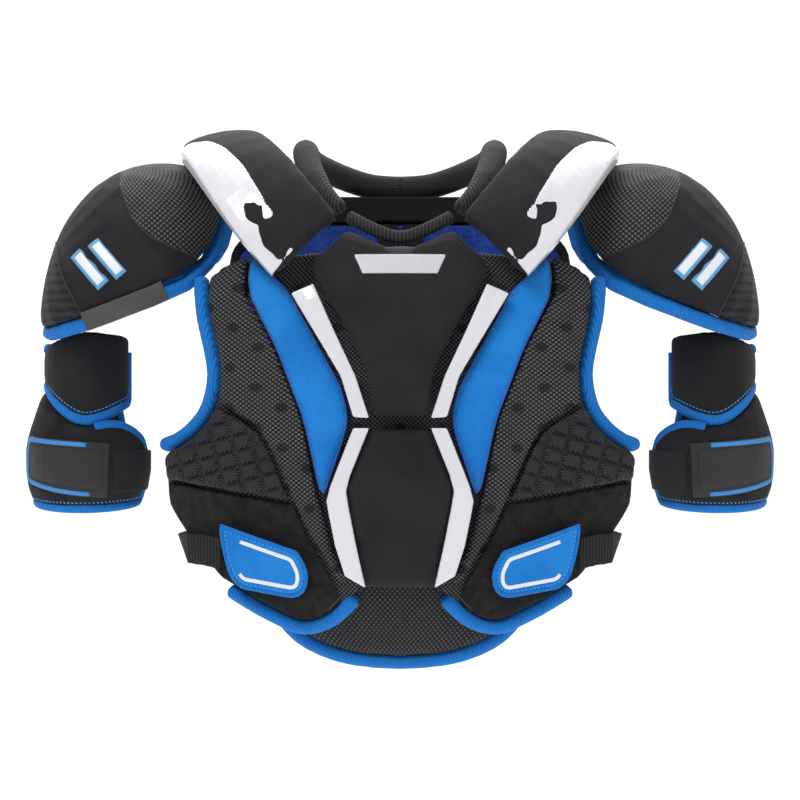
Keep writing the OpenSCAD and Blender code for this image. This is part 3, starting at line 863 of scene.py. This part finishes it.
def edge_trim(name, node, surface, outward, material, inward, radius, body, round_off=2,
              lift=0.0, flat=0.8, cloth=TORSO, keep=None):
    """Piping that follows a node's outer edge, or only the part of it that keep picks."""
    line = edge_line(node, surface, outward, inward, lift, round_off)
    runs = [line] if keep is None else kept_runs(line, keep)
    for number, run in enumerate(runs):
        piece = tube(f"{name}_{number}", run, radius, closed=keep is None, flat=flat,
                     outward=outward)
        settle(piece, body, material, cloth=cloth)


def edge_stitches(name, node, surface, outward, material, inward, body, lift=0.3 * MM,
                  slot=None, keep=None, **form):
    """A row of stitches just inside a node's outer edge, or along the part that keep picks."""
    line = edge_line(node, surface, outward, inward, lift, 3)
    runs = [line] if keep is None else kept_runs(line, keep)
    piece = stitches(name, runs, outward, closed=keep is None, **form)
    return settle(piece, body, material)


def puff(obj, amount):
    """Moves a surface out along its own normals, to make up for what smoothing took off."""
    write_points(obj, read_points(obj) + read_normals(obj) * amount)


def chest_base():
    foam = remeshed("chest_foam_pad", "chest_foam", voxel=3.5 * MM, smooth=3)
    puff(foam, 0.8 * MM)
    settle(foam, "chest_foam", "black_mesh", replaces=["chest_foam"])


def mesh_panels():
    for side, _ in SIDES:
        node = f"chest_mesh_{side}"
        panel = remeshed(f"chest_mesh_pad_{side}", node, voxel=2.4 * MM, smooth=6)
        crown(panel, node, from_front, height=2.6 * MM, width=14 * MM)
        settle(panel, node, "black_mesh", replaces=[node])


def side_panels():
    for side, _ in SIDES:
        node = f"side_panel_{side}"
        panel = remeshed(f"side_panel_pad_{side}", node, voxel=2.0 * MM, smooth=6)
        crown(panel, node, from_front, height=2.2 * MM, width=12 * MM)
        settle(panel, node, "blue_knit", replaces=[node])
        edge_trim(f"side_panel_roll_{side}", node, panel, from_front, "thread_blue", 0.2 * MM,
                  1.3 * MM, node)


BLOCK_WIDTH = 16 * MM
BLOCK_HEIGHT = 12.5 * MM
BLOCK_RISE = 3.6 * MM
# The blocks fade out this close to the panel's edge.
BLOCK_MARGIN = 8 * MM
# The rows run down and outward along the panel.
BLOCK_TILT = math.radians(-14)
# How steep a block's sides are, and how wide the channels between blocks.
BLOCK_STEEPNESS = 3.2
BLOCK_CHANNEL = 0.7


def rib_panels():
    """Rows of raised blocks under the mesh, set along the panel's slope."""
    for side, sign in SIDES:
        node = f"rib_panel_{side}"
        panel = remeshed(f"rib_panel_pad_{side}", node, voxel=1.4 * MM, smooth=5)
        co, normals = read_points(panel), read_normals(panel)
        cos, sin = math.cos(BLOCK_TILT), math.sin(BLOCK_TILT)
        across = sign * co[:, 0] * cos + co[:, 2] * sin
        up = -sign * co[:, 0] * sin + co[:, 2] * cos
        wide = np.abs(np.cos(math.pi * across / BLOCK_WIDTH))
        tall = np.abs(np.cos(math.pi * up / BLOCK_HEIGHT))
        block = np.clip(np.minimum(wide, tall) * BLOCK_STEEPNESS - BLOCK_CHANNEL, 0, 1)
        block = block * block * (3 - 2 * block)
        edges = rise(edge_distance(co, outline(node, from_front)), BLOCK_MARGIN)
        facing = facing_share(-normals[:, 1])
        write_points(panel, co + normals * (facing * edges * (BLOCK_RISE * block))[:, None])
        settle(panel, node, "rib_mesh", replaces=[node])


def loop_fields():
    for side, _ in SIDES:
        node = f"loop_field_{side}"
        panel = remeshed(f"loop_field_pile_{side}", node, voxel=1.8 * MM, smooth=4)
        settle(panel, node, "loop_pile", replaces=[node])


def sternum():
    for node in ("sternum_upper", "sternum_lower"):
        pad = remeshed(f"{node}_pad", node, voxel=3.0 * MM, smooth=6)
        swell(pad, limit=4 * MM)
        crown(pad, node, from_front, height=5 * MM, width=22 * MM)
        subdivide(pad)
        settle(pad, node, "black_knit", replaces=[node])
        edge_stitches(f"{node}_stitches", node, pad, from_front, "thread_black", 7 * MM, node)


def plates():
    for side, _ in SIDES:
        node = f"sternum_trim_{side}"
        plate = remeshed(f"sternum_plate_{side}", node, voxel=1.1 * MM, smooth=3)
        settle(plate, node, "white_plate", replaces=[node])
    lower = remeshed("lower_plate", "lower_trim", voxel=1.1 * MM, smooth=3)
    settle(lower, "lower_trim", "white_plate", replaces=["lower_trim"])
    frame_piece = remeshed("badge_surround", "badge_frame", voxel=1.1 * MM, smooth=4)
    settle(frame_piece, "badge_frame", "badge_rubber", replaces=["badge_frame"])
    badge = remeshed("badge_face", "badge_plate", voxel=0.9 * MM, smooth=3)
    settle(badge, "badge_plate", "badge_plate", replaces=["badge_plate"])


# Bindings wrap over the edge of the pad, so they are drawn this much fuller than the CAD.
BINDING_FULLNESS = 1.6 * MM


def bindings():
    nodes = ["armhole_binding_left", "armhole_binding_right", "hem_binding", "belly_binding"]
    for node in nodes:
        roll = remeshed(f"{node}_roll", node, voxel=1.5 * MM, smooth=4)
        puff(roll, BINDING_FULLNESS)
        settle(roll, node, "blue_binding", replaces=[node])


def belly():
    pad = remeshed("belly_cushion", "belly_pad", voxel=2.5 * MM, smooth=3)
    puff(pad, 1.2 * MM)
    crown(pad, "belly_pad", from_front, height=3 * MM, width=16 * MM)
    settle(pad, "belly_pad", "belly_mesh", replaces=["belly_pad"])


def collar():
    roll = remeshed("collar_cushion", "collar_roll", voxel=2.5 * MM, smooth=8)
    swell(roll, limit=2.5 * MM)
    subdivide(roll)
    settle(roll, "collar_roll", "collar_knit", replaces=["collar_roll"])
    band = remeshed("collar_front_band", "collar_band", voxel=1.5 * MM, smooth=5)
    settle(band, "collar_band", "collar_knit", replaces=["collar_band"])
    # Partly painted shade: below the lit roll, the back collar's black stand fills the shadow
    # inside the collar.
    back = remeshed("back_collar_and_shade_pad", "back_collar", voxel=2.0 * MM, smooth=5)
    settle(back, "back_collar", "black_knit", replaces=["back_collar"])


def back_pieces():
    foam = remeshed("back_foam_pad", "back_foam", voxel=3.5 * MM, smooth=6)
    crown(foam, "back_foam", from_back, height=4 * MM, width=20 * MM)
    settle(foam, "back_foam", "cap_mesh", replaces=["back_foam"])
    liner = remeshed("back_liner_cloth", "back_liner", voxel=1.8 * MM, smooth=3)
    settle(liner, "back_liner", "blue_liner", replaces=["back_liner"])
    for node in ["spine_plate", "blade_plate_left", "blade_plate_right"]:
        plate = remeshed(f"{node}_moulded", node, voxel=1.6 * MM, smooth=4)
        settle(plate, node, "inner_plastic", replaces=[node])
    for side, _ in SIDES:
        for stem in ("back_strap", "side_strap"):
            node = f"{stem}_{side}"
            strap = remeshed(f"{node}_web", node, voxel=1.1 * MM, smooth=3)
            settle(strap, node, "webbing", replaces=[node])


def side_tabs():
    for side, _ in SIDES:
        node = f"side_tab_{side}"
        tab = remeshed(f"{node}_face", node, voxel=1.3 * MM, smooth=4)
        settle(tab, node, "blue_knit", replaces=[node])
        edge_trim(f"{node}_edge", node, tab, from_front, "blue_binding", 1.5 * MM, 1.6 * MM, node,
                  lift=0.1 * MM, flat=0.6)
        edge_stitches(f"{node}_stitches", node, tab, from_front, "thread_light", 4.2 * MM, node,
                      slant=0.5)
        outline_print(tab, node, from_front)


PRINT_INSET = 8.5 * MM
PRINT_STEP = 2 * MM
PRINT_WIDTH = 3.4 * MM
PRINT_THICKNESS = 0.5 * MM
PRINT_LIFT = 0.15 * MM
# The print stops this share of the way out to the strap.
PRINT_END = 0.8


def outline_print(tab, node, outward):
    """The white outline on three sides of the tab's face, open at the strap."""
    loop = outline(node, outward)[0]
    line = relax(resample(inset(loop, outward, PRINT_INSET), PRINT_STEP, True), 3, True)
    low_x = min(abs(p.x) for p in line)
    high_x = max(abs(p.x) for p in line)
    limit = low_x + PRINT_END * (high_x - low_x)
    kept = [abs(p.x) < limit for p in line]
    start = next(i for i in range(len(line)) if kept[i] and not kept[i - 1])
    turned = line[start:] + line[:start]
    run = [p for p in turned if abs(p.x) < limit]
    run = onto(tab, run, outward, PRINT_LIFT)
    strip = ribbon(f"{node}_outline", run, PRINT_WIDTH, outward, PRINT_THICKNESS)
    settle(strip, node, "print_white")


# The middle that the arches curve round, in metres.
ARCH_MIDDLE_Y = 0.02
ARCH_MIDDLE_Z = 0.30


def arch_out(point):
    """Away from the wearer, over the collar bone."""
    return Vector((0, point[1] - ARCH_MIDDLE_Y, point[2] - ARCH_MIDDLE_Z)).normalized()


def arches():
    for side, _ in SIDES:
        pad_node, plate_node = f"arch_pad_{side}", f"arch_plate_{side}"
        cloth = arch_cloth(side)
        pad = remeshed(f"{pad_node}_cushion", pad_node, voxel=3.0 * MM, smooth=8)
        swell(pad, limit=3 * MM)
        crown(pad, pad_node, arch_out, height=2.5 * MM, width=18 * MM)
        subdivide(pad)
        settle(pad, pad_node, "black_knit", replaces=[pad_node], cloth=cloth)
        plate = remeshed(f"{plate_node}_shell", plate_node, voxel=1.3 * MM, smooth=6)
        settle(plate, plate_node, "white_plate", replaces=[plate_node], cloth=cloth)


# The cap's seams, as shares of its box: across from the neck side, and up.
MESH_SEAM = ((0.0, 0.38), (0.12, 0.41), (0.35, 0.52), (0.46, 0.64), (0.54, 0.86), (0.58, 1.1))
RIB_SEAM = ((0.68, 0.0), (0.72, 0.07), (0.83, 0.28), (0.91, 0.52), (1.02, 0.60))
# The plain slanted bars that stand in for the lettering.
CAP_BARS = (((0.50, 0.30), (0.66, 0.50)), ((0.60, 0.24), (0.76, 0.44)))
# Each bar's material, width, lift and the points cut from its ends: a blue edge under white.
BAR_LAYERS = (("print_blue", 13 * MM, 0.1 * MM, 0), ("print_white", 9 * MM, 0.35 * MM, 1))
BAR_THICKNESS = 0.8 * MM
# The middle of the bars' outward directions, as a share of the cap's box.
BAR_MIDDLE = (0.5, 0.2)
SEAM_RADIUS = 0.9 * MM
SEAM_LIFT = 0.1 * MM
# The middle that a cap bulges from is this far above its lowest point.
CAP_MIDDLE_RISE = 20 * MM
# A plane in front of the whole object, from which points are carried back onto it.
FRONT_PLANE = -0.3


def on_cap(side, share):
    """A point in the cap's box, in the upright plane through its middle."""
    low_corner, high_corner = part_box(f"cap_pad_{side}")
    across = share[0] if side == "left" else 1 - share[0]
    x = low_corner[0] + across * (high_corner[0] - low_corner[0])
    z = low_corner[2] + share[1] * (high_corner[2] - low_corner[2])
    return Vector((x, 0, z))


def cap_panels(pad, side):
    """Gives the cap its coarse mesh panel, ribbed corner panel and the seams between them."""
    node = f"cap_pad_{side}"
    low_corner, high_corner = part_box(node)
    pad.data.materials.append(MATERIALS["coarse_mesh"])
    pad.data.materials.append(MATERIALS["ribbed_mesh"])
    mesh_x, mesh_z = zip(*MESH_SEAM)
    rib_x, rib_z = zip(*RIB_SEAM)
    for polygon in pad.data.polygons:
        x, _, z = polygon.center
        across = (x - low_corner[0]) / (high_corner[0] - low_corner[0])
        across = across if side == "left" else 1 - across
        up = (z - low_corner[2]) / (high_corner[2] - low_corner[2])
        if up > np.interp(across, mesh_x, mesh_z):
            polygon.material_index = 1
        elif across > np.interp(up, rib_z, rib_x):
            polygon.material_index = 2
    for name, seam in (("mesh", MESH_SEAM[:-1]), ("rib", RIB_SEAM[:-1])):
        line = resample([on_cap(side, share) for share in seam], LINE_STEP)
        line = drop_from_front(pad, relax(line, 4), SEAM_LIFT)
        groove = tube(f"cap_seam_{name}_{side}", line, SEAM_RADIUS, outward=from_front)
        settle(groove, node, "thread_black")


def drop_from_front(surface, points, lift):
    """Points carried back onto the surface's front."""
    tree = surface_tree(surface)
    placed = []
    for p in points:
        hit, normal = tree.ray_cast(Vector((p.x, FRONT_PLANE, p.z)), Vector((0, 1, 0)))[:2]
        if hit is not None:
            placed.append(hit + normal * lift)
    return placed


def cap_bars(pad, side):
    node = f"cap_pad_{side}"
    for number, ends in enumerate(CAP_BARS):
        line = resample([on_cap(side, share) for share in ends], LINE_STEP)
        out = from_point(on_cap(side, BAR_MIDDLE))
        for shade, width, lift, cut in BAR_LAYERS:
            run = drop_from_front(pad, line, lift)[cut:len(line) - cut]
            bar = ribbon(f"cap_bar_{number}_{shade}_{side}", run, width, out, BAR_THICKNESS)
            settle(bar, node, shade)


def caps():
    for side, _ in SIDES:
        pad_node = f"cap_pad_{side}"
        cloth = cap_cloth(side)
        middle = (cloth[0][0], 0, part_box(pad_node)[0][2] + CAP_MIDDLE_RISE)
        outward = from_point(middle)
        pad = remeshed(f"{pad_node}_cushion", pad_node, voxel=2.6 * MM, smooth=3)
        puff(pad, 0.8 * MM)
        crown(pad, pad_node, outward, height=2.5 * MM, width=18 * MM)
        subdivide(pad)
        settle(pad, pad_node, "black_knit", replaces=[pad_node], cloth=cloth)
        cap_panels(pad, side)
        cap_bars(pad, side)
        shell_node = f"cap_shell_{side}"
        shell = remeshed(f"{shell_node}_moulded", shell_node, voxel=1.6 * MM, smooth=4)
        settle(shell, shell_node, "inner_plastic", replaces=[shell_node], cloth=cloth)
        ring_node = f"cap_binding_{side}"
        ring = remeshed(f"{ring_node}_roll", ring_node, voxel=1.8 * MM, smooth=5)
        puff(ring, BINDING_FULLNESS)
        settle(ring, ring_node, "blue_binding", replaces=[ring_node], cloth=cloth)
    label = remeshed("cap_label_cloth", "cap_label", voxel=0.9 * MM, smooth=2)
    settle(label, "cap_label", "grey_label", replaces=["cap_label"], cloth=cap_cloth("right"))


# How much of each outline is bound or stitched, as shares of the piece's height or width.
GUARD_BINDING_TOP = 0.82
GUARD_STITCH_TOP = 0.4
CUFF_HEM_TOP = 0.2
CUFF_PILE_EDGE = 0.1
CUFF_TAB_OPEN = 0.22


def arms():
    for side, sign in SIDES:
        guards(side)
        cuffs(side, sign)
        cuff_closures(side)


def guards(side):
    """The biceps guard, bound down its edges and round the bottom, but not under the cap."""
    node, cloth, away = f"bicep_guard_{side}", arm_cloth(side), arm_out(side)
    low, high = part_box(node)
    tall = high[2] - low[2]
    guard = remeshed(f"bicep_cushion_{side}", node, voxel=2.4 * MM, smooth=6)
    crown(guard, node, away, height=3 * MM, width=14 * MM)
    settle(guard, node, "black_knit", replaces=[node], cloth=cloth)
    edge_trim(f"bicep_binding_{side}", node, guard, away, "blue_binding", 1 * MM, 5.2 * MM, node,
              lift=-1 * MM, cloth=cloth,
              keep=lambda p: p.z < low[2] + GUARD_BINDING_TOP * tall)
    edge_stitches(f"bicep_stitches_{side}", node, guard, away, "thread_light", 7 * MM, node,
                  keep=lambda p: p.z < low[2] + GUARD_STITCH_TOP * tall)
    plate = remeshed(f"bicep_plate_moulded_{side}", f"bicep_plate_{side}", voxel=1.3 * MM, smooth=3)
    settle(plate, f"bicep_plate_{side}", "inner_plastic", replaces=[f"bicep_plate_{side}"],
           cloth=cloth)


def cuffs(side, sign):
    """The cuff: fuzzy on its outer half for the tab to grip, smooth knit on the inner half."""
    node, cloth, away = f"cuff_pad_{side}", arm_cloth(side), arm_out(side)
    low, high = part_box(node)
    tall, wide = high[2] - low[2], high[0] - low[0]
    centre = (low[0] + high[0]) / 2
    cuff = remeshed(f"cuff_cushion_{side}", node, voxel=2.4 * MM, smooth=6)
    crown(cuff, node, away, height=3 * MM, width=16 * MM)
    settle(cuff, node, "loop_pile", replaces=[node], cloth=cloth)
    cuff.data.materials.append(MATERIALS["black_knit"])
    for polygon in cuff.data.polygons:
        polygon.material_index = int(sign * (polygon.center.x - centre) < CUFF_PILE_EDGE * wide)
    edge_trim(f"cuff_binding_{side}", node, cuff, away, "blue_binding", 1 * MM, 4.4 * MM, node,
              lift=-1 * MM, cloth=cloth,
              keep=lambda p: p.z < low[2] + CUFF_HEM_TOP * tall
              or sign * (p.x - centre) < -CUFF_PILE_EDGE * wide)
    edge_stitches(f"cuff_stitches_{side}", node, cuff, away, "thread_light", 5.5 * MM, node,
                  slant=0.8, keep=lambda p: p.z < low[2] + CUFF_HEM_TOP * tall)


def cuff_closures(side):
    """The elastic strap and the grey tab, whose outline is open on the strap's side."""
    cloth, away = arm_cloth(side), arm_out(side)
    strap_node, tab_node = f"cuff_strap_{side}", f"cuff_tab_{side}"
    strap = remeshed(f"cuff_strap_web_{side}", strap_node, voxel=1.0 * MM, smooth=3)
    settle(strap, strap_node, "webbing", replaces=[strap_node], cloth=cloth)
    tab = remeshed(f"cuff_tab_face_{side}", tab_node, voxel=1.2 * MM, smooth=4)
    settle(tab, tab_node, "grey_tab", replaces=[tab_node], cloth=cloth)
    low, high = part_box(tab_node)
    near = min(abs(low[0]), abs(high[0])) + CUFF_TAB_OPEN * (high[0] - low[0])
    edge_trim(f"cuff_tab_edge_{side}", tab_node, tab, away, "tab_outline", 3 * MM, 1.9 * MM,
              tab_node, flat=0.35, cloth=cloth, keep=lambda p: abs(p.x) > near)
    edge_stitches(f"cuff_tab_stitches_{side}", tab_node, tab, away, "thread_black", 6.5 * MM,
                  tab_node)


chest_base()
mesh_panels()
side_panels()
rib_panels()
loop_fields()
sternum()
plates()
bindings()
belly()
collar()
back_pieces()
side_tabs()
arches()
caps()
arms()
